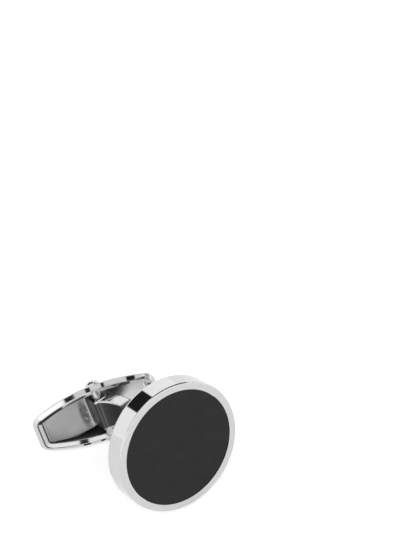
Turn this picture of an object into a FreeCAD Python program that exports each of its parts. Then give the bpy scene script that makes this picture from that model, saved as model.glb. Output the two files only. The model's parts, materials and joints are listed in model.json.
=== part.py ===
"""Round cufflink with a swivel toggle: face cup, inlay, cranked post, pin, toggle shell and leaf spring.

Millimetres.  Every piece is first built in the link's own axes, with the cup's back at Y = 0, the face
towards -Y, the toggle towards +Y and the hinge pin along Z.  The toggle pieces are built about the pin,
turned to the swivel angle and moved to the pivot.  Last, the whole link is laid down so that the cup's
edge and the lower pin head rest on Z = 0.
"""
import FreeCAD
import Part
import math
import os

from FreeCAD import Placement, Rotation, Vector

# Face cup and its inlay
cup_radius = 9.0
cup_thickness = 3.0
ring_width = 1.0
recess_depth = 0.9
inlay_gap = 0.03
inlay_sink = 0.04
inlay_edge = 0.08
cup_front_edge = 0.22
cup_back_edge = 0.4

# Pivot: how far the pin axis lies behind the cup, and how far it is cranked to one side
pivot_reach = 12.7
pivot_offset = 1.7
swivel_angle = 23.5

# Post: trumpet foot, slim neck, fishtail web and the square block that turns on the pin
foot_radius = 2.4
foot_height = 2.2
foot_edge = 0.3
foot_hollow = 0.35
neck_depth = 1.8
neck_half_width = 0.62
neck_bow = 0.75
bow_start = 0.65
neck_spread = 0.1
bow_drop = 2.0
web_start_drop = 1.3
web_start_shift = 0.5
web_start_spread = 0.45
web_mid_drop = 1.75
web_mid_shift = -0.05
web_mid_spread = 0.8
web_step = 0.15
web_inside = 0.12
block_half = 1.0
block_corner = 0.35
block_half_length = 2.35
block_chamfer = 0.12
post_edge = 0.18

# Hinge pin
pin_radius = 0.5
pin_tenon_radius = 0.25
pin_clearance = 0.05
pin_head_radius = 1.0
pin_head_height = 0.46
pin_head_flat = 0.3

# Toggle shell: a boat with a crested rim, bowed sides and a belly narrower than its rim
toggle_spring_reach = 9.3
toggle_free_reach = 8.0
toggle_half_width = 4.55
toggle_end_half_width = 2.49
toggle_depth = 2.71
toggle_corner = 1.4
belly_inset = 1.35
belly_edge = 0.7
rim_slope_width = 0.62
rim_slope_drop = 0.4
rim_edge = 0.1
crest_edge = 0.12
mouth_slope_width = 0.57
mouth_slope_drop = 0.18
floor_thickness = 0.45
cavity_draft = 0.25
cavity_edge = 0.35
crest_corner = 1.0
cavity_corner = 0.6
pin_drop = 0.66
boss_radius = 0.6
head_inset = 0.1
block_side_gap = 0.15

# Leaf spring
spring_thickness = 0.3
spring_end_gap = 0.5
spring_rim_drop = 0.36
spring_end_side_gap = 0.17
spring_mid_side_gap = 0.21
spring_nose_side_gap = 0.96
spring_mid_reach = 4.4
spring_corner = 0.45
spring_contact_angle = 67.5
spring_contact_gap = 0.06
spring_bend = 0.3
spring_edge = 0.07
spring_ridge_reach = 1.23
spring_lip = 0.08
spring_seat_length = 1.5

X_AXIS = Vector(1, 0, 0)
Y_AXIS = Vector(0, 1, 0)
Z_AXIS = Vector(0, 0, 1)


def rounded_edges(corners, radii):
    """Edges of a closed outline whose corners are rounded, each with its own radius."""
    count = len(corners)
    tangents = []
    for i, corner in enumerate(corners):
        before = (corners[i - 1] - corner).normalize()
        after = (corners[(i + 1) % count] - corner).normalize()
        half_turn = before.getAngle(after) / 2
        reach = radii[i] / math.tan(half_turn)
        to_centre = (before + after).normalize()
        top = corner + to_centre * (radii[i] / math.sin(half_turn) - radii[i])
        tangents.append((corner + before * reach, top, corner + after * reach))
    edges = []
    for i, (start, top, end) in enumerate(tangents):
        edges.append(Part.Arc(start, top, end).toShape())
        edges.append(Part.makeLine(end, tangents[(i + 1) % count][0]))
    return edges


def side_radius():
    """Radius of the toggle's bowed sides, from its half widths at the middle and at the spring end."""
    fall = toggle_half_width - toggle_end_half_width
    return (toggle_spring_reach ** 2 + fall ** 2) / (2 * fall)


def side_at(x, inset):
    """Half width of the toggle's outline, drawn in by inset, at x along its length."""
    bow = side_radius() - inset
    return toggle_half_width - side_radius() + math.sqrt(bow ** 2 - x ** 2)


def boat_corner(reach, inset, corner):
    """A rounded corner of the toggle: its two ends and its middle, from the end line to the bowed side."""
    end = reach - inset
    bow = side_radius() - inset
    bow_centre = toggle_half_width - side_radius()
    corner_x = end - corner
    rise = math.sqrt((bow - corner) ** 2 - corner_x ** 2)
    corner_z = bow_centre + rise
    turn = math.atan2(rise, corner_x)
    half_way = (corner_x + corner * math.cos(turn / 2), corner_z + corner * math.sin(turn / 2))
    meeting = (bow * math.cos(turn), bow_centre + bow * math.sin(turn))
    return [(end, corner_z), half_way, meeting]


def boat_outline(inset, y, corner):
    """The toggle's outline, drawn in by inset, in the plane at depth y: two bowed sides, two short ends."""
    free = boat_corner(toggle_free_reach, inset, corner)
    fixed = [(-x, z) for x, z in boat_corner(toggle_spring_reach, inset, corner)]
    bowed = [free[2], (0, toggle_half_width - inset), fixed[2]]
    upper = [free, bowed, fixed[::-1]]
    lower = [[(x, -z) for x, z in reversed(arc)] for arc in reversed(upper)]
    edges = []
    for side, other in ((upper, lower), (lower, upper)):
        for arc in side:
            edges.append(Part.Arc(*[Vector(x, y, z) for x, z in arc]).toShape())
        (x, z_start), (_, z_end) = side[-1][-1], other[0][0]
        edges.append(Part.makeLine(Vector(x, y, z_start), Vector(x, y, z_end)))
    return Part.Wire(edges)


def edges_at_depth(shape, y):
    """The edges of a shape that lie whole in the plane at depth y."""
    flat = [edge for edge in shape.Edges if edge.BoundBox.YLength < 1e-4]
    return [edge for edge in flat if abs(edge.BoundBox.YMin - y) < 1e-4]


def drum(radius, y_start, y_end):
    """A round disc about the Y axis."""
    return Part.makeCylinder(radius, y_end - y_start, Vector(0, y_start, 0), Y_AXIS)


def face_cup():
    """The polished cup: a thick round plate with a shallow recess in its front."""
    body = drum(cup_radius, -cup_thickness, 0)
    body = body.makeFillet(cup_front_edge, edges_at_depth(body, -cup_thickness))
    body = body.makeFillet(cup_back_edge, edges_at_depth(body, 0))
    recess = drum(cup_radius - ring_width, -cup_thickness, recess_depth - cup_thickness)
    return body.cut(recess)


def inlay():
    """The dark disc that fills the recess, a hair below the ring."""
    front = inlay_sink - cup_thickness
    disc = drum(cup_radius - ring_width - inlay_gap, front, recess_depth - cup_thickness)
    return disc.makeFillet(inlay_edge, edges_at_depth(disc, front))


def post_section(y, middle, depth, half_width):
    """One cross-section of the post at height y: a rectangle with rounded corners."""
    half = depth / 2
    plan = [(half, -half_width), (half, half_width), (-half, half_width), (-half, -half_width)]
    corners = [Vector(middle + x, y, z) for x, z in plan]
    return Part.Wire(rounded_edges(corners, [post_edge] * len(corners)))


def post_web():
    """The cranked neck, swept from the foot and spread into the fishtail that carries the block."""
    top = pivot_reach - block_half + block_corner
    web_mid = top - web_mid_drop
    web_start = web_mid - web_start_drop
    bow = web_start - bow_drop
    web_half_width = block_half_length - web_step
    web_depth = 2 * (block_half - web_inside)
    spread = web_half_width - neck_half_width
    bow_half_width = neck_half_width + spread * neck_spread
    start_half_width = neck_half_width + spread * web_start_spread
    mid_half_width = neck_half_width + spread * web_mid_spread
    sections = [
        post_section(0, 0, neck_depth, neck_half_width),
        post_section(bow / 2, neck_bow * bow_start, neck_depth, neck_half_width),
        post_section(bow, neck_bow, neck_depth, bow_half_width),
        post_section(web_start, web_start_shift, neck_depth, start_half_width),
        post_section(web_mid, web_mid_shift, neck_depth, mid_half_width),
        post_section(top, -pivot_offset, web_depth, web_half_width),
    ]
    return Part.makeLoft(sections, True, False)


def post_foot():
    """The trumpet foot that is soldered to the cup's back."""
    slim = neck_half_width - post_edge
    centre = Vector(0, 0, 0)
    start = Vector(foot_radius, 0, 0)
    edge_top = Vector(foot_radius, foot_edge, 0)
    top = Vector(slim, foot_height, 0)
    chord = top - edge_top
    inward = Vector(-chord.y, chord.x, 0).normalize()
    hollow = (edge_top + top) / 2 + inward * foot_hollow
    outline = Part.Wire([
        Part.makeLine(centre, start),
        Part.makeLine(start, edge_top),
        Part.Arc(edge_top, hollow, top).toShape(),
        Part.makeLine(top, Vector(0, foot_height, 0)),
        Part.makeLine(Vector(0, foot_height, 0), centre),
    ])
    return Part.Face(outline).revolve(centre, Y_AXIS, 360)


def crest_half_width():
    """How far from the middle the crest lies, where the bosses end and the pin steps down."""
    return toggle_half_width - rim_slope_width


def head_face():
    """How far from the middle the pin's heads begin."""
    return toggle_half_width - head_inset


def along_pin(radius, z_start, z_end):
    """A round bar about the pin axis, in the toggle's own axes."""
    return Part.makeCylinder(radius, z_end - z_start, Vector(0, 0, z_start), Z_AXIS)


def post():
    """The post: foot, cranked neck, fishtail web and bored block in one casting."""
    plan = [(1, -1), (1, 1), (-1, 1), (-1, -1)]
    corners = [Vector(x * block_half, y * block_half, -block_half_length) for x, y in plan]
    outline = Part.Wire(rounded_edges(corners, [block_corner] * len(corners)))
    block = Part.Face(outline).extrude(Vector(0, 0, 2 * block_half_length))
    ends = [edge for edge in block.Edges if edge.BoundBox.ZLength < 1e-4]
    block = block.makeChamfer(block_chamfer, ends)
    bore = along_pin(pin_radius + pin_clearance, -block_half_length, block_half_length)
    for shape in (block, bore):
        shape.translate(Vector(-pivot_offset, pivot_reach, 0))
    return post_web().fuse([block, post_foot()]).cut(bore)


def head_dome():
    """Ball radius of the pin's domed heads."""
    return (pin_head_radius ** 2 + pin_head_height ** 2) / (2 * pin_head_height)


def head_disc(side, z_start, z_end):
    """A round of the head's radius about the pin, ground flat on the side that the rim passes."""
    low, high = sorted((side * z_start, side * z_end))
    across = 2 * pin_head_radius
    corner = Vector(-pin_head_radius, -pin_head_flat, low)
    behind_rim = Part.makeBox(across, across, high - low, corner)
    return along_pin(pin_head_radius, low, high).common(behind_rim)


def hinge_pin():
    """The riveted pin with a domed head on each cheek."""
    dome = head_dome()
    shank = along_pin(pin_radius, -crest_half_width(), crest_half_width())
    tenons = along_pin(pin_tenon_radius, -head_face(), head_face())
    top = head_face() + pin_head_height
    heads = []
    for side in (1, -1):
        ball = Part.makeSphere(dome, Vector(0, 0, side * (top - dome)))
        heads.append(ball.common(head_disc(side, head_face(), top)))
    return shank.fuse([tenons] + heads).removeSplitter()


def block_sweep():
    """Radius of the circle that the block's rounded corners sweep about the pin."""
    return (block_half - block_corner) * math.sqrt(2) + block_corner


def spring_line():
    """Top line of the leaf spring: its fixed end, its ridge and the end of the lip under the block."""
    angle = math.radians(spring_contact_angle)
    reach = block_sweep() + spring_contact_gap
    contact = Vector(-reach * math.cos(angle), reach * math.sin(angle), 0)
    onward = Vector(math.sin(angle), math.cos(angle), 0)
    ridge = contact - onward * spring_ridge_reach
    fixed_x = -(toggle_spring_reach - rim_slope_width - mouth_slope_width - spring_end_gap)
    fixed = Vector(fixed_x, spring_rim_drop - pin_drop, 0)
    return fixed, ridge, contact + onward * spring_lip


def spring_seat():
    """Ground that the cavity leaves standing under the fixed end of the spring."""
    fixed, ridge, _ = spring_line()
    slope = (ridge.y - fixed.y) / (ridge.x - fixed.x)
    under = spring_thickness * math.hypot(1, slope)
    outer_x = -toggle_spring_reach
    inner_x = fixed.x + spring_seat_length
    outer_y = fixed.y + under + (outer_x - fixed.x) * slope
    inner_y = fixed.y + under + (inner_x - fixed.x) * slope
    corners = [(outer_x, outer_y), (inner_x, inner_y), (inner_x, toggle_depth), (outer_x, toggle_depth)]
    points = [Vector(x, y, -toggle_half_width) for x, y in corners]
    face = Part.Face(Part.makePolygon(points + points[:1]))
    return face.extrude(Vector(0, 0, 2 * toggle_half_width))


def toggle_shell():
    """The boat: a drafted hull with a crested rim, hollowed, with a spring seat and two bored bosses."""
    crest = -pin_drop
    shoulder = crest + rim_slope_drop
    mouth = crest + mouth_slope_drop
    belly = crest + toggle_depth
    floor = belly - floor_thickness
    inner = rim_slope_width + mouth_slope_width
    widest = boat_outline(0, shoulder, toggle_corner)
    hull = Part.makeLoft([widest, boat_outline(belly_inset, belly, toggle_corner)], True, True)
    hull = hull.makeFillet(belly_edge, edges_at_depth(hull, belly))
    ridge = boat_outline(rim_slope_width, crest, crest_corner)
    hull = hull.fuse(Part.makeLoft([ridge, widest], True, True))
    hull = hull.makeFillet(rim_edge, edges_at_depth(hull, shoulder))
    edge_of_mouth = boat_outline(inner, mouth, cavity_corner)
    hull = hull.cut(Part.makeLoft([ridge, edge_of_mouth], True, True))
    hull = hull.makeFillet(crest_edge, edges_at_depth(hull, crest))
    bottom = boat_outline(inner + cavity_draft, floor, cavity_corner)
    cavity = Part.makeLoft([edge_of_mouth, bottom], True, True)
    cavity = cavity.makeFillet(cavity_edge, edges_at_depth(cavity, floor))
    shell = hull.cut(cavity.cut(spring_seat()))
    boss_start = block_half_length + block_side_gap
    upper_boss = along_pin(boss_radius, boss_start, crest_half_width())
    lower_boss = along_pin(boss_radius, -crest_half_width(), -boss_start)
    shell = shell.fuse([upper_boss, lower_boss]).removeSplitter()
    pin_room = [along_pin(pin_radius, -crest_half_width(), crest_half_width())]
    pin_room.append(along_pin(pin_tenon_radius, -head_face(), head_face()))
    for side in (1, -1):
        pin_room.append(head_disc(side, head_face(), head_face() + pin_head_height))
    return shell.cut(pin_room)


def leaf_spring():
    """The satin leaf: narrow at its fixed end, widest half-way, bent down under the block at its nose."""
    fixed, ridge, lip = spring_line()
    along = (ridge - fixed).normalize()
    down = Vector(-along.y, along.x, 0)
    lip_along = (lip - ridge).normalize()
    lip_down = Vector(-lip_along.y, lip_along.x, 0)
    fold = (down + lip_down).normalize()
    under_ridge = ridge + fold * (spring_thickness / fold.dot(down))
    under_lip = lip + lip_down * spring_thickness
    under_fixed = fixed + down * spring_thickness
    corners = [fixed, ridge, lip, under_lip, under_ridge, under_fixed]
    sharp = [spring_edge] * 2
    bends = [spring_edge, spring_bend + spring_thickness] + sharp + [spring_bend, spring_edge]
    side = Part.Face(Part.Wire(rounded_edges(corners, bends)))
    side.translate(Vector(0, 0, -toggle_half_width))
    strip = side.extrude(Vector(0, 0, 2 * toggle_half_width))
    mouth = rim_slope_width + mouth_slope_width
    nose_x = lip.x + spring_thickness
    half_plan = [
        (fixed.x, side_at(fixed.x, mouth) - spring_end_side_gap),
        (-spring_mid_reach, side_at(spring_mid_reach, mouth) - spring_mid_side_gap),
        (nose_x, side_at(nose_x, mouth) - spring_nose_side_gap),
    ]
    plan = half_plan + [(x, -z) for x, z in reversed(half_plan)]
    start = -2 * toggle_depth
    corners = [Vector(x, start, z) for x, z in plan]
    outline = Part.Wire(rounded_edges(corners, [spring_corner] * len(corners)))
    blank = Part.Face(outline).extrude(Vector(0, 4 * toggle_depth, 0))
    return strip.common(blank)


def resting_lean():
    """Angle of the line that touches the cup's back edge and the lower pin head from below."""
    dome = head_dome()
    cup_edge = Vector(0, -cup_back_edge, cup_back_edge - cup_radius)
    head = Vector(0, pivot_reach, dome - head_face() - pin_head_height)
    apart = head - cup_edge
    return math.atan2(apart.z, apart.y) + math.asin((cup_back_edge - dome) / apart.Length)


def main():
    pivot = Placement(Vector(-pivot_offset, pivot_reach, 0), Rotation(Z_AXIS, -swivel_angle))
    pieces = {"face_cup": face_cup(), "enamel_inlay": inlay(), "post": post()}
    toggle_pieces = {"toggle_shell": toggle_shell(), "hinge_pin": hinge_pin(), "leaf_spring": leaf_spring()}
    for name, shape in toggle_pieces.items():
        shape.Placement = pivot.multiply(shape.Placement)
        pieces[name] = shape
    lean = math.degrees(resting_lean())
    laid = Placement(Vector(0, 0, 0), Rotation(X_AXIS, -lean))
    for shape in pieces.values():
        shape.Placement = laid.multiply(shape.Placement)
    box = Part.makeCompound(list(pieces.values())).optimalBoundingBox(False, False)
    to_base = Vector(-box.Center.x, -box.Center.y, -box.ZMin)
    os.makedirs("parts", exist_ok=True)
    for name, shape in pieces.items():
        shape.translate(to_base)
        shape.exportStep("parts/" + name + ".step")
        print(name, "solids", len(shape.Solids), "valid", shape.isValid(), "volume", round(shape.Volume, 2))
    axis = laid.Rotation.multVec(Z_AXIS)
    centre = laid.multVec(pivot.Base) + to_base
    print("swivel axis", [round(v, 5) for v in axis], "through", [round(v, 4) for v in centre])
    print("lean", round(lean, 3), "base shift", [round(v, 4) for v in to_base])
    print("size", [round(v, 3) for v in (box.XLength, box.YLength, box.ZLength)])


main()
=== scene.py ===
# %% [markdown]
# # A round cufflink with a swivel toggle
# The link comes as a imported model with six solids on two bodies: the face with its post, and the toggle
# that turns on a pin.  This lesson dresses it.  Bright plated metal shows little of itself and much of
# the room, so the finish, the room and the camera are made together.  All lengths are metres, in the
# frame of the model.

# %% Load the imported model
import bmesh
import bpy
import json
import math
from mathutils import Matrix, Vector


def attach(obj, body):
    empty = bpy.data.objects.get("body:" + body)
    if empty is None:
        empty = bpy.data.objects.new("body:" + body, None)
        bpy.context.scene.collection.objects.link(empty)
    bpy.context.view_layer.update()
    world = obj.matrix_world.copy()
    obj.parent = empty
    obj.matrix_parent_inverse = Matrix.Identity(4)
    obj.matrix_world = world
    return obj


MM = 0.001
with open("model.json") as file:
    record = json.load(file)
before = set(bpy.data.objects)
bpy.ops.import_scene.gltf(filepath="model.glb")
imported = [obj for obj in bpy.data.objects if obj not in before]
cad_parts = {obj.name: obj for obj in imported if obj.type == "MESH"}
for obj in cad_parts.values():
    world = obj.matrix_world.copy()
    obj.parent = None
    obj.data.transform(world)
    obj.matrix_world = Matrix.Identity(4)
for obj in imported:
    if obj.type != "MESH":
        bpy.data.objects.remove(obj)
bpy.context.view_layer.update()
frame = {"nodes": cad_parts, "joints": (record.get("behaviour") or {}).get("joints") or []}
nodes = frame["nodes"]


def in_mm(lengths):
    """Lengths in millimetres, rounded for a printed line."""
    return [round(length / MM, 2) for length in lengths]


# %% [markdown]
# ## The link's own axes
# The link lies on a table, so its face leans back.  Pieces that are round about the face are easier to
# make in the link's own axes: the cup's back at Y = 0, the face towards -Y and the hinge pin along Z.
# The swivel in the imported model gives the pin's axis and a point on it, and that is enough to find the
# turn and the shift.  The toggle has axes of its own: X along its length, Y into its hollow and Z along
# the pin.

# %% Axes of the link and of the toggle
PIVOT_REACH = 12.7 * MM
PIVOT_OFFSET = 1.7 * MM
SWIVEL_AT_REST = math.radians(23.5)

swivel = frame["joints"][0]
pin_axis = Vector(swivel["axis"])
pivot = Vector(swivel["pos_m"])
lean = math.atan2(pin_axis.y, pin_axis.z)
turn = Matrix.Rotation(-lean, 4, "X")
link_origin = pivot - turn @ Vector((-PIVOT_OFFSET, PIVOT_REACH, 0))
link_axes = Matrix.Translation(link_origin) @ turn
toggle_axes = Matrix.Translation(pivot) @ turn @ Matrix.Rotation(-SWIVEL_AT_REST, 4, "Z")
print("lean in degrees", round(math.degrees(lean), 2), "cup back in mm", in_mm(link_origin))

# %% [markdown]
# ## Camera
# The photograph was taken with a long lens from above and to one side.  A camera aimed by eye would come
# near, but then no edge of the render could be held against the picture.  So the three directions of the
# camera were found from the ellipse of the round face, in the link's own axes.  The lens follows from the
# size of the face in the picture, and the face's middle has its own place in the frame.

# %% Camera from the photograph
IMAGE_HEIGHT_PX = 536
FACE_SCALE_PX = 7.7667 / MM
VIEW_DISTANCE = 450 * MM
FACE_FROM_MIDDLE = (3.404 * MM, 23.095 * MM)
CUP_THICKNESS = 3.0 * MM
TO_CAMERA = (-0.347, -0.7582, 0.552)
CAMERA_RIGHT = (0.776, -0.5626, -0.285)
SENSOR_MM = 36.0
NEAREST_SEEN = 0.01
FARTHEST_SEEN = 20

to_camera = Vector(TO_CAMERA).normalized()
camera_right = Vector(CAMERA_RIGHT)
camera_right = (camera_right - to_camera * camera_right.dot(to_camera)).normalized()
camera_up = to_camera.cross(camera_right)
face_middle = Vector((0, -CUP_THICKNESS, 0))
camera_spot = face_middle + camera_right * FACE_FROM_MIDDLE[0] + camera_up * FACE_FROM_MIDDLE[1]
camera_spot += to_camera * VIEW_DISTANCE
camera_turn = Matrix((camera_right, camera_up, to_camera)).transposed().to_4x4()

camera_data = bpy.data.cameras.new("camera")
camera_data.sensor_width = SENSOR_MM
camera_data.lens = SENSOR_MM * FACE_SCALE_PX * VIEW_DISTANCE / IMAGE_HEIGHT_PX
camera_data.clip_start = NEAREST_SEEN
camera_data.clip_end = FARTHEST_SEEN
camera = bpy.data.objects.new("camera", camera_data)
camera.matrix_world = link_axes @ Matrix.Translation(camera_spot) @ camera_turn
bpy.context.collection.objects.link(camera)
bpy.context.scene.camera = camera
print("lens in mm", round(camera_data.lens, 1), "camera height in mm", round(camera.location.z / MM))

# %% [markdown]
# ## Patterns from small nodes
# The room and every finish are drawn with shader nodes.  Pictures of scratches and reflections would do
# it too, but nodes stay sharp at any size and keep their place on the piece.  A few helpers set up the
# nodes that come up again and again, so that each pattern below reads like a short sum.

# %% Helpers for node trees
def feed(tree, socket, value):
    """Link a socket to an input, or set the input to a plain value."""
    if isinstance(value, bpy.types.NodeSocket):
        tree.links.new(value, socket)
    else:
        socket.default_value = value


def set_inputs(node, values):
    """Set several inputs of a node to plain values, by name."""
    for name, value in values.items():
        node.inputs[name].default_value = value


def math_node(tree, operation, first, second=0.0):
    """One Math node; a value or a socket on each input."""
    node = tree.nodes.new("ShaderNodeMath")
    node.operation = operation
    feed(tree, node.inputs[0], first)
    feed(tree, node.inputs[1], second)
    return node.outputs[0]


def mix(tree, mask, below, above, kind="FLOAT"):
    """Below where the mask is 0 and above where it is 1: two values, or two colours if the kind is RGBA."""
    node = tree.nodes.new("ShaderNodeMix")
    node.data_type = kind
    feed(tree, node.inputs["Factor"], mask)
    feed(tree, node.inputs["A"], below)
    feed(tree, node.inputs["B"], above)
    return node.outputs["Result"]


print("helpers that feed, add and mix")

# %% Helpers for masks
def ramp(tree, value, start, end):
    """0 up to start, 1 from end on, and a soft change between."""
    node = tree.nodes.new("ShaderNodeMapRange")
    node.interpolation_type = "SMOOTHSTEP"
    feed(tree, node.inputs["Value"], value)
    set_inputs(node, {"From Min": start, "From Max": end})
    return node.outputs["Result"]


def apart(tree, value, middle):
    """How far a value is from a middle, on either side of it."""
    return math_node(tree, "ABSOLUTE", math_node(tree, "SUBTRACT", value, middle))


def overlap(tree, *masks):
    """1 only where every one of the masks is 1."""
    shared = masks[0]
    for mask in masks[1:]:
        shared = math_node(tree, "MULTIPLY", shared, mask)
    return shared


def sum_of_squares(tree, first, second):
    """Both values squared and added."""
    squares = [math_node(tree, "MULTIPLY", way, way) for way in (first, second)]
    return math_node(tree, "ADD", *squares)


print("helpers that draw masks")

# %% [markdown]
# ## Room
# The picture has a white ground.  A broad white room lights the link from all sides, with one brighter
# and two greyer panels, and a few dark upright flags stand in it, as a photographer places them, because
# polished metal without something dark to mirror looks like plaster.  Real boards round the link would
# stand in the way of some views, so the room is the world's own shader, equally far from every view.

# %% Panels and flags of the room
BLACK = 0.015
PANEL_SOFTNESS = 0.06
PANELS = (
    # heading from +Y towards +X, half width, lower and upper edge, all in degrees, and tone
    (-125.0, 6.5, 25.0, 46.0, 1.3),
    (-157.0, 19.0, 36.0, 62.0, 0.76),
    (-25.0, 32.0, 30.0, 76.0, 0.5),
    (0.0, 13.0, 8.0, 40.0, BLACK),
    (24.0, 10.0, 27.0, 80.0, BLACK),
    (83.0, 39.0, 27.0, 80.0, BLACK),
    (-100.0, 9.0, 36.0, 58.0, BLACK),
    (-134.7, 2.6, 32.0, 50.0, BLACK),
    (-144.8, 1.4, 38.0, 52.0, BLACK),
    (-153.6, 0.9, 40.0, 52.0, BLACK),
    (-170.0, 2.4, 38.0, 52.0, BLACK),
    (-159.6, 0.9, 8.0, 22.0, BLACK),
)


def within(tree, value, middle, half):
    """1 where a value lies within half of a middle, with a narrow soft edge."""
    return ramp(tree, apart(tree, value, middle), half * (1 + PANEL_SOFTNESS), half * (1 - PANEL_SOFTNESS))


def turned_away(tree, heading, middle):
    """How far a heading is turned from a middle one, up to half a turn either way."""
    away = math_node(tree, "SUBTRACT", heading, middle)
    return math_node(tree, "ARCTAN2", math_node(tree, "SINE", away), math_node(tree, "COSINE", away))


print("panels and flags", len(PANELS))

# %% White room
ROOM_STRENGTH = 1.4
BACKDROP_STRENGTH = 1.0
WHITE = (1, 1, 1, 1)

world = bpy.data.worlds.new("white_room")
bpy.context.scene.world = world
world.use_nodes = True
room = world.node_tree
room.nodes.clear()
looking = room.nodes.new("ShaderNodeTexCoord")
looking_parts = room.nodes.new("ShaderNodeSeparateXYZ")
room.links.new(looking.outputs["Generated"], looking_parts.inputs[0])
heading = math_node(room, "ARCTAN2", looking_parts.outputs["X"], looking_parts.outputs["Y"])
height = math_node(room, "ARCSINE", looking_parts.outputs["Z"])

room_tone = 1.0
for middle, half_width, lower, upper, tone in PANELS:
    away = turned_away(room, heading, math.radians(middle))
    wide = within(room, away, 0.0, math.radians(half_width))
    tall = within(room, height, math.radians((lower + upper) / 2), math.radians((upper - lower) / 2))
    room_tone = mix(room, overlap(room, wide, tall), room_tone, tone)
print("room", world.name, "with", len(room.nodes), "nodes")

# %% [markdown]
# The camera itself looks past the link at plain white.  The panels are for the metal and the floor alone,
# so the picture's ground stays white from every side.

# %% Light and backdrop of the room
seen = room.nodes.new("ShaderNodeMixShader")
ray = room.nodes.new("ShaderNodeLightPath")
room_out = room.nodes.new("ShaderNodeOutputWorld")
room.links.new(ray.outputs["Is Camera Ray"], seen.inputs["Fac"])
room_strength = math_node(room, "MULTIPLY", room_tone, ROOM_STRENGTH)
for shader_input, strength in zip(seen.inputs[1:], (room_strength, BACKDROP_STRENGTH)):
    glow = room.nodes.new("ShaderNodeBackground")
    glow.inputs["Color"].default_value = WHITE
    feed(room, glow.inputs["Strength"], strength)
    room.links.new(glow.outputs[0], shader_input)
room.links.new(seen.outputs[0], room_out.inputs["Surface"])
bpy.context.scene.view_settings.view_transform = "Standard"
print("room lights with strength", ROOM_STRENGTH)

# %% [markdown]
# ## Floor
# A plain pale sheet carries the link.  It is lit a little from below, as on a light table, which keeps
# the ground under the metal white.  It is one large grid, not part of the link.  Two helpers put any
# finished shape and any new finish into the scene.

# %% Helpers for shapes and finishes
def new_finish(name, values):
    """A new material whose main shader starts with the given plain values."""
    material = bpy.data.materials.new(name)
    material.use_nodes = True
    set_inputs(material.node_tree.nodes["Principled BSDF"], values)
    return material


def put_in_scene(name, shape, finish):
    """Make an object with a finish from a bmesh; it stays at the origin, with its place in its mesh."""
    mesh = bpy.data.meshes.new(name)
    shape.to_mesh(mesh)
    shape.free()
    mesh.materials.append(finish)
    thing = bpy.data.objects.new(name, mesh)
    bpy.context.collection.objects.link(thing)
    return thing


print("helpers for shapes and finishes")

# %% Floor
FLOOR_HALF = 1.5
PAPER = {
    "Base Color": (0.97, 0.97, 0.97, 1),
    "Emission Color": WHITE,
    "Emission Strength": 0.3,
    "Roughness": 0.9,
    "Specular IOR Level": 0.1,
}

sheet = bmesh.new()
bmesh.ops.create_grid(sheet, x_segments=1, y_segments=1, size=FLOOR_HALF)
floor = put_in_scene("floor", sheet, new_finish("pale_paper", PAPER))
print("floor", 2 * FLOOR_HALF, "m wide")

# %% [markdown]
# ## Dark cards of painted shadow under the link
# The metal in the picture mirrors dark patches of ground on the toggle's near side, though the ground
# itself is white.  A grey floor would dull the whole picture.  Small dark cards lie there that only
# mirror rays meet: they are painted shadow, standing in for the link's own shadow on the ground, so the
# white floor keeps its even light.

# %% Cards of painted shadow, for reflections only
CARD_LIFT = 0.05 * MM
CARD_SEGMENTS = 48
SHADOW_CARD_FINISH = {"Base Color": (0.09, 0.09, 0.09, 1), "Roughness": 1.0, "Specular IOR Level": 0.0}
SHADOW_CARDS = (
    # middle and half size on the floor in millimetres, and turn in degrees: for the post's web, the toggle's
    # mouth and two spots on the toggle's lower rim
    ((-9.9, 4.1), (3.6, 3.6), 0.0),
    ((-5.2, 2.35), (1.6, 0.22), -34.0),
    ((-4.5, 5.6), (0.55, 0.8), 0.0),
    ((-2.4, 5.0), (0.3, 0.6), 0.0),
)

ovals = bmesh.new()
for (card_x, card_y), (half_x, half_y), turned in SHADOW_CARDS:
    card_place = Matrix.Translation((card_x * MM, card_y * MM, CARD_LIFT))
    card_place = card_place @ Matrix.Rotation(math.radians(turned), 4, "Z")
    card_place = card_place @ Matrix.Diagonal((half_x * MM, half_y * MM, 1, 1))
    bmesh.ops.create_circle(ovals, cap_ends=True, segments=CARD_SEGMENTS, radius=1, matrix=card_place)
# The cards are painted shadow: dark ground seen only in reflections, where the link's shadow would lie.
shadow_cards = put_in_scene("painted_shadow_cards", ovals, new_finish("painted_shadow_card", SHADOW_CARD_FINISH))
for ray_kind in ("camera", "diffuse", "shadow", "transmission", "volume_scatter"):
    setattr(shadow_cards, "visible_" + ray_kind, False)
print("shadow_cards", len(SHADOW_CARDS))

# %% [markdown]
# ## Places on a piece
# A pattern has to lie along a piece, and the pieces stand askew in the model.  A Mapping node turns the
# object's coordinates into the axes of the face or of the toggle, in millimetres, so that a grain runs
# along the leaf and a mark lies where it is wanted.

# %% Coordinates in a piece's own axes
def own_place(tree, axes):
    """Object coordinates, turned into the given axes and counted in millimetres."""
    place = tree.nodes.new("ShaderNodeTexCoord")
    mapping = tree.nodes.new("ShaderNodeMapping")
    mapping.vector_type = "TEXTURE"
    turned_to = axes.to_euler()
    set_inputs(mapping, {"Location": axes.to_translation(), "Rotation": turned_to, "Scale": (MM, MM, MM)})
    tree.links.new(place.outputs["Object"], mapping.inputs["Vector"])
    return mapping.outputs["Vector"]


def own_xyz(tree, axes):
    """The three coordinates of a place in the given axes, one by one."""
    parts = tree.nodes.new("ShaderNodeSeparateXYZ")
    tree.links.new(own_place(tree, axes), parts.inputs[0])
    return parts.outputs[:]


print("helpers for places in millimetres")

# %% [markdown]
# ## Fine marks of polishing
# No plating is perfect.  A buffing wheel leaves hair lines and faint clouds, and fingers leave a film.
# The same marks are on each metal piece, only finer or coarser, so they are one node group that puts out
# a roughness and a height, and each metal gives it its own values.

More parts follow.
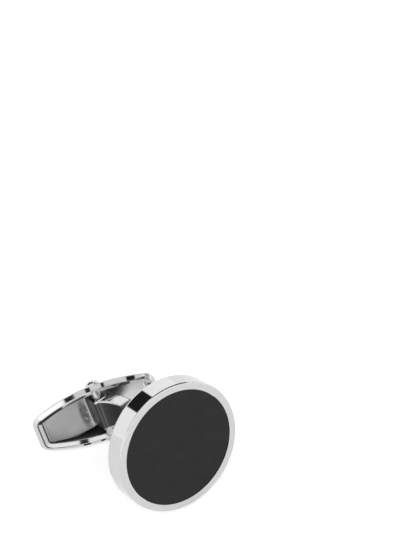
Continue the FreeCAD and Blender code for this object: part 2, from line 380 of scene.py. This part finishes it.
# %% Group of polishing marks
CLOUD_DETAIL = 5.0
HAIR_DETAIL = 3.0
MARKS_FROM_TO = (0.12, 0.42)
MARK_INPUTS = {
    "Place": "NodeSocketVector",
    "Smooth": "NodeSocketFloat",
    "Dull": "NodeSocketFloat",
    "Cloud Scale": "NodeSocketFloat",
    "Hair Scale": "NodeSocketFloat",
    "Stretch": "NodeSocketVector",
}


def noise(tree, place, scale, detail):
    """Soft random clouds at a place; the scale is a value or a socket."""
    node = tree.nodes.new("ShaderNodeTexNoise")
    node.inputs["Detail"].default_value = detail
    feed(tree, node.inputs["Vector"], place)
    feed(tree, node.inputs["Scale"], scale)
    return node.outputs["Fac"]


def spread(tree, value, start, end, low, high):
    """Carry a value from the range start to end over to the range low to high."""
    node = tree.nodes.new("ShaderNodeMapRange")
    feed(tree, node.inputs["Value"], value)
    set_inputs(node, {"From Min": start, "From Max": end})
    feed(tree, node.inputs["To Min"], low)
    feed(tree, node.inputs["To Max"], high)
    return node.outputs["Result"]


def polishing_marks():
    """Group: cloudy film and hair lines, as a roughness and a height."""
    group = bpy.data.node_groups.new("polishing_marks", "ShaderNodeTree")
    for name, kind in MARK_INPUTS.items():
        group.interface.new_socket(name=name, in_out="INPUT", socket_type=kind)
    for name in ("Roughness", "Height"):
        group.interface.new_socket(name=name, in_out="OUTPUT", socket_type="NodeSocketFloat")
    given = group.nodes.new("NodeGroupInput").outputs
    result = group.nodes.new("NodeGroupOutput").inputs
    stretch = group.nodes.new("ShaderNodeVectorMath")
    stretch.operation = "MULTIPLY"
    group.links.new(given["Place"], stretch.inputs[0])
    group.links.new(given["Stretch"], stretch.inputs[1])
    cloud = noise(group, given["Place"], given["Cloud Scale"], CLOUD_DETAIL)
    hair = noise(group, stretch.outputs[0], given["Hair Scale"], HAIR_DETAIL)
    roughness = spread(group, overlap(group, cloud, hair), *MARKS_FROM_TO, given["Smooth"], given["Dull"])
    group.links.new(roughness, result["Roughness"])
    group.links.new(hair, result["Height"])
    return group


marks_group = polishing_marks()
print("group", marks_group.name, "with", len(marks_group.nodes), "nodes")

# %% [markdown]
# ## Metals
# The cup, the toggle and the pin are plated and mirror bright.  The post is the same plating on a casting
# that the wheel reaches less well.  A metallic shader with one roughness would look like a drawing of
# metal, so one helper adds the marks for roughness, a faint bump and a slight change of tone, and each
# metal has its own set of marks: how smooth and how dull it gets, the size of clouds and hair lines, and
# how the lines are stretched.

# %% Helper for a metal
LIGHT_SIDE = 1.04
DARK_SIDE = 0.93
MARK_DEPTH = 0.004 * MM


def shaded(tone, factor):
    """A tone made lighter or darker as a whole."""
    return (*[channel * factor for channel in tone], 1)


def relief(tree, height, strength, depth):
    """A fine bump from a height, as a normal for the shader."""
    bump = tree.nodes.new("ShaderNodeBump")
    set_inputs(bump, {"Strength": strength, "Distance": depth})
    tree.links.new(height, bump.inputs["Height"])
    return bump.outputs["Normal"]


def metal(name, axes, tone, marks, bump):
    """A metal that changes its roughness, tone and normal a little over the surface."""
    material = new_finish(name, {"Metallic": 1.0})
    tree = material.node_tree
    shader = tree.nodes["Principled BSDF"]
    wear = tree.nodes.new("ShaderNodeGroup")
    wear.node_tree = marks_group
    set_inputs(wear, marks)
    tree.links.new(own_place(tree, axes), wear.inputs["Place"])
    tree.links.new(wear.outputs["Roughness"], shader.inputs["Roughness"])
    shade = mix(tree, wear.outputs["Height"], shaded(tone, LIGHT_SIDE), shaded(tone, DARK_SIDE), "RGBA")
    tree.links.new(shade, shader.inputs["Base Color"])
    tree.links.new(relief(tree, wear.outputs["Height"], bump, MARK_DEPTH), shader.inputs["Normal"])
    return material


print("helper for metals")

# %% Plated metals
PLATING = (0.555, 0.555, 0.56)
ALL_ROUND = (1.0, 1.0, 1.0)
ALONG_TOGGLE = (0.06, 1.0, 1.0)
FACE_MARKS = {"Smooth": 0.02, "Dull": 0.06, "Cloud Scale": 0.3, "Hair Scale": 2.6, "Stretch": ALL_ROUND}
TOGGLE_MARKS = {"Smooth": 0.02, "Dull": 0.07, "Cloud Scale": 0.35, "Hair Scale": 2.6, "Stretch": ALONG_TOGGLE}
CAST_MARKS = {"Smooth": 0.04, "Dull": 0.14, "Cloud Scale": 0.42, "Hair Scale": 2.2, "Stretch": ALL_ROUND}

face_plating = metal("face_plating", link_axes, PLATING, FACE_MARKS, bump=0.03)
toggle_plating = metal("toggle_plating", toggle_axes, PLATING, TOGGLE_MARKS, bump=0.06)
shell_plating = metal("shell_plating", toggle_axes, PLATING, TOGGLE_MARKS, bump=0.06)
cast_plating = metal("cast_plating", link_axes, PLATING, CAST_MARKS, bump=0.15)
print("metals", face_plating.name, toggle_plating.name, shell_plating.name, cast_plating.name)

# %% [markdown]
# ## Inside of the toggle
# A polishing wheel reaches the rim and the belly of the boat, but not its hollow, so the plating in there
# lies on a blasted, satin ground and looks paler.  Its colour is painted paler still: painted light that
# lifts the shade inside the hollow.  A second material on some faces would end at the faces' edges.  The
# hollow is found from its place alone: below the mouth, nearer to the middle than the wall's own middle
# line, and above the floor.  The bowed sides are arcs, so the distance from the arc's centre tells the
# inner side of the wall from the outer one.  Places are in millimetres, in the toggle's axes.

# %% Mask of the hollow
SIDE_RADIUS = 22.02
SIDE_CENTRE = 17.47
LEAF_END = -9.3
FREE_END = 8.0
WALL_MIDDLE = 0.685
WALL_SLOPE = 0.346
BELOW_MOUTH = (-0.42, -0.2)
ABOVE_FLOOR = (1.9, 1.75)
SOFT_EDGE = 0.08


def hollow_mask(tree, x, y, z):
    """1 on the inner side of the shell's wall, between its mouth and its floor."""
    wall = math_node(tree, "ADD", math_node(tree, "MULTIPLY", y, WALL_SLOPE), WALL_MIDDLE)
    from_centre = math_node(tree, "ADD", math_node(tree, "ABSOLUTE", z), SIDE_CENTRE)
    reach = math_node(tree, "SQRT", sum_of_squares(tree, x, from_centre))
    to_side = math_node(tree, "SUBTRACT", SIDE_RADIUS, reach)
    to_leaf_end = math_node(tree, "SUBTRACT", x, LEAF_END)
    to_free_end = math_node(tree, "SUBTRACT", FREE_END, x)
    nearest = math_node(tree, "MINIMUM", math_node(tree, "MINIMUM", to_side, to_leaf_end), to_free_end)
    inner = ramp(tree, math_node(tree, "SUBTRACT", nearest, wall), 0.0, SOFT_EDGE)
    return overlap(tree, inner, ramp(tree, y, *BELOW_MOUTH), ramp(tree, y, *ABOVE_FLOOR))


shell_tree = shell_plating.node_tree
shell_x, shell_y, shell_z = own_xyz(shell_tree, toggle_axes)
hollow = hollow_mask(shell_tree, shell_x, shell_y, shell_z)
print("hollow from", LEAF_END, "to", FREE_END, "mm along the toggle")

# %% [markdown]
# Beside the leaf the hollow is painted darker, on that side of the pin: painted shade in the narrow gap.
# The seat under the leaf's end gets half of it, and a thin dark line is painted on the crest of the tip, as
# a painted dark reflection.

# %% Mask of the painted shade beside the leaf
LEAF_SIDE = (0.3, -0.8)
SEAT_MIDDLE = -7.59
SEAT_HALF = 0.29
SEAT_SHADE_SHARE = 0.5
CREST = (-0.61, -0.635)
TIP = (-7.7, -8.3)


def leaf_gap_shade_mask(tree, x, y, hollow):
    """1 in the hollow beside the leaf, less on the leaf's seat, and 1 on the crest of the tip."""
    off_seat = ramp(tree, apart(tree, x, SEAT_MIDDLE), SEAT_HALF, SEAT_HALF + SOFT_EDGE)
    on_seat = math_node(tree, "MAXIMUM", off_seat, SEAT_SHADE_SHARE)
    beside_leaf = overlap(tree, hollow, ramp(tree, x, *LEAF_SIDE), on_seat)
    tip = overlap(tree, ramp(tree, y, *CREST), ramp(tree, x, *TIP))
    return math_node(tree, "MAXIMUM", beside_leaf, tip)


# Painted shade: beside the leaf in the hollow, half on the seat, and a painted dark line on the tip's crest.
leaf_gap_shade = leaf_gap_shade_mask(shell_tree, shell_x, shell_y, hollow)
print("paste round the seat at", SEAT_MIDDLE, "mm")

# %% Satin hollow, painted lighter, with painted shade beside the leaf
SATIN_AND_PAINTED_LIGHT = (0.86, 0.86, 0.865, 1)
SATIN_ROUGHNESS = 0.26
PAINTED_GAP_SHADE = (0.1, 0.1, 0.1, 1)
GAP_SHADE_ROUGHNESS = 0.5


def colour_where(material, mask, colour):
    """Lay another colour over a finish where the mask is 1."""
    tree = material.node_tree
    socket = tree.nodes["Principled BSDF"].inputs["Base Color"]
    tree.links.new(mix(tree, mask, socket.links[0].from_socket, colour, "RGBA"), socket)


def satin_where(material, mask, colour, roughness):
    """Lay another colour and another roughness over a finish where the mask is 1."""
    colour_where(material, mask, colour)
    tree = material.node_tree
    socket = tree.nodes["Principled BSDF"].inputs["Roughness"]
    tree.links.new(mix(tree, mask, socket.links[0].from_socket, roughness), socket)


# The satin roughness is the hollow's finish; its paler colour is painted light that lifts the hollow's shade.
satin_where(shell_plating, hollow, SATIN_AND_PAINTED_LIGHT, SATIN_ROUGHNESS)
# Painted shade in the gap beside the leaf, and the painted dark line on the crest.
satin_where(shell_plating, leaf_gap_shade, PAINTED_GAP_SHADE, GAP_SHADE_ROUGHNESS)
print("shell", shell_plating.name, "with", len(shell_tree.nodes), "nodes")

# %% [markdown]
# ## Flanks of the post
# The web and the block are one casting.  Their outer edges are buffed bright, but the flanks lie between
# cup and toggle, out of the wheel's reach, and stay dull.  They are also painted darker: painted shade
# where the flanks sit between cup and toggle, darkest on the web.  The web spreads like a fishtail, so
# the dull, shaded zone widens with the height above the cup and stops short of the edges.  The block's
# rounded long edges are painted darker still, as painted shade.  Places are in millimetres, in the
# link's axes.

# %% Masks of the dull flanks and their painted shade
FISHTAIL_START = 7.0
FISHTAIL_HALF = 0.84
FISHTAIL_SPREAD = 0.281
DULL_FROM = (6.2, 7.6)
DULL_EDGE = (0.0, 0.12)
BLOCK_CORNER = (1.04, 1.18)
WEB_TOP = (11.9, 11.3)


def flank_shade_masks(tree):
    """Masks of the dull flanks with painted shade, without edges and foot, of the block's long edges, and of
    the web alone.
    """
    x, y, z = own_xyz(tree, link_axes)
    above = math_node(tree, "SUBTRACT", y, FISHTAIL_START)
    half_width = math_node(tree, "ADD", math_node(tree, "MULTIPLY", above, FISHTAIL_SPREAD), FISHTAIL_HALF)
    from_edge = math_node(tree, "SUBTRACT", half_width, math_node(tree, "ABSOLUTE", z))
    flanks = overlap(tree, ramp(tree, from_edge, *DULL_EDGE), ramp(tree, y, *DULL_FROM))
    aside = math_node(tree, "ADD", x, PIVOT_OFFSET / MM)
    behind = math_node(tree, "SUBTRACT", y, PIVOT_REACH / MM)
    from_pin = math_node(tree, "SQRT", sum_of_squares(tree, aside, behind))
    corners = overlap(tree, flanks, ramp(tree, from_pin, *BLOCK_CORNER))
    return flanks, corners, overlap(tree, flanks, ramp(tree, y, *WEB_TOP))


dull_and_shade_masks = flank_shade_masks(cast_plating.node_tree)
print("dull zones on the post", len(dull_and_shade_masks))

# %% Dull flanks with painted shade
BLOCK_PAINTED_SHADE = (0.25, 0.25, 0.253, 1)
CORNER_PAINTED_SHADE = (0.11, 0.11, 0.111, 1)
WEB_PAINTED_SHADE = (0.05, 0.05, 0.05, 1)
DULL_ROUGHNESS = 0.36

# The dull roughness is the finish; the darker colours are painted shade between cup and toggle.
for mask, colour in zip(dull_and_shade_masks, (BLOCK_PAINTED_SHADE, CORNER_PAINTED_SHADE, WEB_PAINTED_SHADE)):
    satin_where(cast_plating, mask, colour, DULL_ROUGHNESS)
print("post", cast_plating.name, "with", len(cast_plating.node_tree.nodes), "nodes")

# %% [markdown]
# ## Satin leaf
# The leaf is rolled steel with a satin grain along its length.  Its ridge carries a painted highlight, a
# narrow paler and smoother line, and the lip past it is painted paler, as painted light.  On the near side
# of the ridge lies a painted dark reflection: a broken patch and a spot.  Spots painted in a picture would
# look pasted on, so they are masks in the toggle's axes, in millimetres: a narrow line at the ridge, and
# soft ovals next to it, one of them broken up by clouds.

# %% Places of the painted shade and the ridge
RIDGE_X = -1.66
RIDGE_EDGE = (0.16, 0.048)
LIP_FROM = (-1.62, -1.46)
LEAF_SHADE_MIDDLE = (-2.36, 0.0)
LEAF_SHADE_HALF = (0.74, 2.9)
LEAF_SHADE_STRENGTH = 0.8
SPOT_MIDDLE = (-2.62, 0.97)
SPOT_HALF = (0.34, 0.42)
SPOT_STRENGTH = 0.85
OVAL_EDGE = (1.0, 0.1)
PATCH_SCALE = 1.4
PATCH_DETAIL = 4.0
PATCH_FROM_TO = (0.25, 0.55)


def oval(tree, x, z, middle, half):
    """1 in the middle of an oval on the leaf, falling softly to 0 at its edge."""
    along = math_node(tree, "DIVIDE", math_node(tree, "SUBTRACT", x, middle[0]), half[0])
    across = math_node(tree, "DIVIDE", math_node(tree, "SUBTRACT", z, middle[1]), half[1])
    return ramp(tree, sum_of_squares(tree, along, across), *OVAL_EDGE)


def leaf_shade_mask(tree, x, z):
    """1 where painted shade lies: a broken oval beside the ridge and a spot in it."""
    patchy = noise(tree, own_place(tree, toggle_axes), PATCH_SCALE, PATCH_DETAIL)
    broken = math_node(tree, "MULTIPLY", ramp(tree, patchy, *PATCH_FROM_TO), LEAF_SHADE_STRENGTH)
    shade_patch = overlap(tree, oval(tree, x, z, LEAF_SHADE_MIDDLE, LEAF_SHADE_HALF), broken)
    spot = math_node(tree, "MULTIPLY", oval(tree, x, z, SPOT_MIDDLE, SPOT_HALF), SPOT_STRENGTH)
    return math_node(tree, "MAXIMUM", shade_patch, spot)


print("ridge at", RIDGE_X, "mm, film at", LEAF_SHADE_MIDDLE[0], "mm")

# %% Satin steel with a painted highlight, painted light and painted shade
STEEL = (0.37, 0.37, 0.37)
STEEL_MARKS = {"Smooth": 0.26, "Dull": 0.36, "Cloud Scale": 0.5, "Hair Scale": 5.0, "Stretch": ALONG_TOGGLE}
LEAF_PAINTED_SHADE = (0.06, 0.06, 0.06, 1)
LIP_PAINTED_LIGHT = (0.88, 0.88, 0.88, 1)
RIDGE_PAINTED_HIGHLIGHT = (0.6, 0.6, 0.6, 1)
RIDGE_ROUGHNESS = 0.22

satin_steel = metal("satin_steel", toggle_axes, STEEL, STEEL_MARKS, bump=0.02)
leaf_tree = satin_steel.node_tree
leaf_x, _, leaf_z = own_xyz(leaf_tree, toggle_axes)
# Painted dark reflection: a broken patch and a spot beside the ridge.
colour_where(satin_steel, leaf_shade_mask(leaf_tree, leaf_x, leaf_z), LEAF_PAINTED_SHADE)
# Painted light: the lip past the ridge is made paler.
colour_where(satin_steel, ramp(leaf_tree, leaf_x, *LIP_FROM), LIP_PAINTED_LIGHT)
# Painted highlight: a paler, smoother line along the ridge.
ridge = ramp(leaf_tree, apart(leaf_tree, leaf_x, RIDGE_X), *RIDGE_EDGE)
satin_where(satin_steel, ridge, RIDGE_PAINTED_HIGHLIGHT, RIDGE_ROUGHNESS)
print("leaf", satin_steel.name, "with", len(leaf_tree.nodes), "nodes")

# %% [markdown]
# ## Enamel
# The inlay is a near-black filling with hardly any gloss.  Close up it is not one flat tone: fine grains
# and soft clouds break it up.  One noise alone would repeat at a single size, so there are two: the fine
# one gives the bump, the broad one the gloss, and both together the tone.

# %% Dark enamel
ENAMEL_GLOSS = 0.22
GRAIN_SCALE = 5200.0
GRAIN_DETAIL = 4.0
SOFT_CLOUD_SCALE = 420.0
SOFT_CLOUD_DETAIL = 6.0
ENAMEL_TONES = ((0.12, (0.006, 0.006, 0.006, 1)), (0.45, (0.014, 0.014, 0.014, 1)))
ENAMEL_ROUGHNESS = (0.5, 0.68)
GRAIN_BUMP = 0.25
GRAIN_DEPTH = 0.01 * MM


def enamel():
    """Near-black enamel with fine grain, faint clouds and a soft sheen."""
    material = new_finish("dark_enamel", {"Specular IOR Level": ENAMEL_GLOSS})
    tree = material.node_tree
    shader = tree.nodes["Principled BSDF"]
    place = tree.nodes.new("ShaderNodeTexCoord").outputs["Object"]
    grain = noise(tree, place, GRAIN_SCALE, GRAIN_DETAIL)
    cloud = noise(tree, place, SOFT_CLOUD_SCALE, SOFT_CLOUD_DETAIL)
    tone = tree.nodes.new("ShaderNodeValToRGB")
    for stop, (position, colour) in zip(tone.color_ramp.elements, ENAMEL_TONES):
        stop.position = position
        stop.color = colour
    tree.links.new(overlap(tree, grain, cloud), tone.inputs["Fac"])
    tree.links.new(tone.outputs["Color"], shader.inputs["Base Color"])
    tree.links.new(spread(tree, cloud, 0.0, 1.0, *ENAMEL_ROUGHNESS), shader.inputs["Roughness"])
    tree.links.new(relief(tree, grain, GRAIN_BUMP, GRAIN_DEPTH), shader.inputs["Normal"])
    return material


dark_enamel = enamel()
print("enamel", dark_enamel.name, "with", len(dark_enamel.node_tree.nodes), "nodes")

# %% [markdown]
# ## Finishes on the solids
# A dressed copy could hide each solid of the model, but the solids already have the right shapes.  So they
# stay, and only their material slots change.

# %% Dress the solids
FINISHES = {
    "face_cup": face_plating,
    "enamel_inlay": dark_enamel,
    "post": cast_plating,
    "toggle_shell": shell_plating,
    "hinge_pin": toggle_plating,
    "leaf_spring": satin_steel,
}
for name, finish in FINISHES.items():
    solid = nodes[name].data
    solid.materials.clear()
    solid.materials.append(finish)
print("dressed", len(FINISHES), "solids")

# %% [markdown]
# ## Solder seam
# The post is soldered to the cup's back, and the solder creeps into the corner round its foot as a small
# hollow bead.  A bevel on the foot would change the solid itself.  So a closed profile of the bead, in
# millimetres, is spun once round the link's axis, which gives the ring.  It is turned into place in its
# mesh, so that the object itself stays at the origin.

# %% Shape of the bead
SEAM_PROFILE = ((2.34, 0.0), (2.74, 0.0), (2.62, 0.05), (2.52, 0.13), (2.46, 0.25), (2.34, 0.25))
SEAM_STEPS = 120
SAME_SPOT = 0.001

bead = bmesh.new()
corners = [bead.verts.new((radius, rise, 0)) for radius, rise in SEAM_PROFILE]
for first, second in zip(corners, corners[1:] + corners[:1]):
    bead.edges.new((first, second))
profile = bead.verts[:] + bead.edges[:]
bmesh.ops.spin(
    bead, geom=profile, cent=(0, 0, 0), axis=(0, 1, 0), angle=math.tau, steps=SEAM_STEPS, use_merge=True
)
bmesh.ops.remove_doubles(bead, verts=bead.verts, dist=SAME_SPOT)
bmesh.ops.recalc_face_normals(bead, faces=bead.faces)
bead.transform(link_axes @ Matrix.Diagonal((MM, MM, MM, 1)))
for bead_face in bead.faces:
    bead_face.smooth = True
print("bead with", len(bead.faces), "faces")

# %% Bead of solder round the foot
SOLDER = (0.5, 0.5, 0.49)
SOLDER_MARKS = {"Smooth": 0.16, "Dull": 0.34, "Cloud Scale": 1.2, "Hair Scale": 4.0, "Stretch": ALL_ROUND}

seam = put_in_scene("solder_seam", bead, metal("solder", link_axes, SOLDER, SOLDER_MARKS, bump=0.4))
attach(seam, "face")
print("seam", seam.name, "with", len(seam.data.polygons), "faces")
